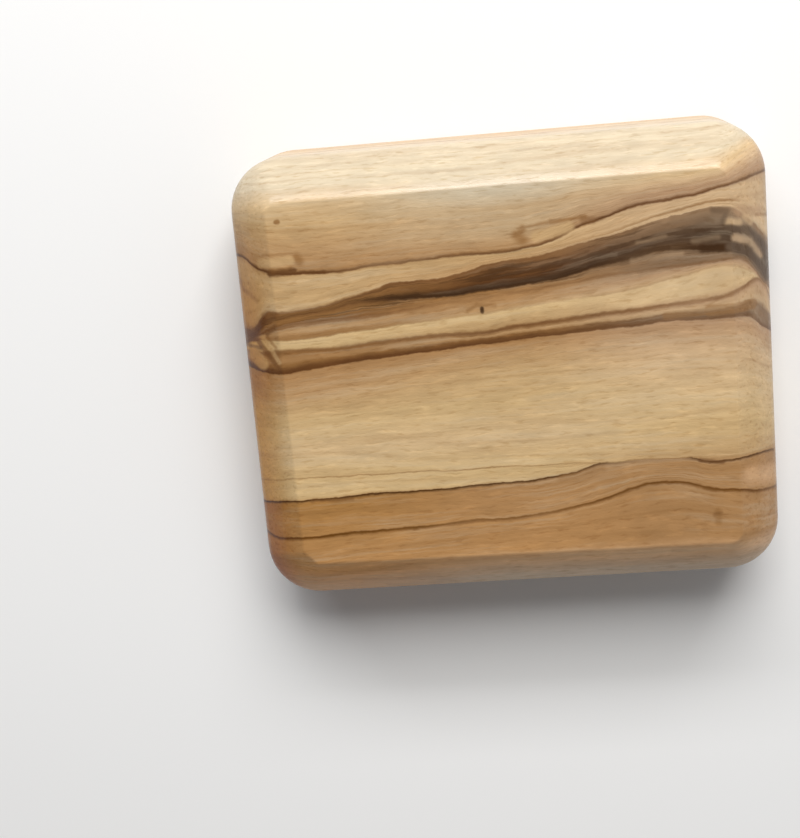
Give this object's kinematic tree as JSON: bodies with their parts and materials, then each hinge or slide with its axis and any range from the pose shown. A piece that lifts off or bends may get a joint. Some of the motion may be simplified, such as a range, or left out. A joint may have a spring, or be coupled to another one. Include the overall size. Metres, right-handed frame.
{
  "type": "mezuzah case",
  "caption": "Palm-sized olive-wood mezuzah case: a bevelled block held by magnets over a screw-on back plate, with a clear tube and rolled parchment inside.",
  "frame": {"origin": "centre of the back, where the case meets the doorpost", "axes": "+Z out of the front face, +X along the case's length (up when it hangs), +Y across its width"},
  "size_m": [0.09, 0.0776, 0.026],
  "materials": {
    "olive_wood": "figured olive wood, sanded and lacquered to a gloss",
    "plate_wood": "plain olive wood, oiled",
    "nickel": "bright nickel plating on a magnet",
    "brass": "rolled spring brass, lightly brushed",
    "clear_tube": "clear acrylic, polished",
    "cork": "natural cork",
    "parchment": "blank calf parchment, matt"
  },
  "bodies": {
    "plate": {"back_plate": "plate_wood", "plate_magnet_1": "nickel", "plate_magnet_2": "nickel", "plate_magnet_3": "nickel", "plate_magnet_4": "nickel", "tube_clip_1": "brass", "tube_clip_2": "brass", "clip_screw_1": "brass", "clip_screw_2": "brass"},
    "tube": {"scroll_tube": "clear_tube", "parchment_scroll": "parchment"},
    "stopper": {"tube_stopper": "cork"},
    "shell": {"front_shell": "olive_wood", "shell_magnet_1": "nickel", "shell_magnet_2": "nickel", "shell_magnet_3": "nickel", "shell_magnet_4": "nickel"}
  },
  "joints": [
    {"name": "tube_lift", "type": "slide", "parent": "plate", "child": "tube", "axis": [0, 0, 1], "range_m": [0, 0.025]},
    {"name": "shell_lift", "type": "slide", "parent": "tube", "child": "shell", "axis": [0, 0, 1], "range_m": [0, 0.06]},
    {"name": "stopper_pull", "type": "slide", "parent": "tube", "child": "stopper", "axis": [1, 0, 0], "range_m": [0, 0.007]}
  ]
}
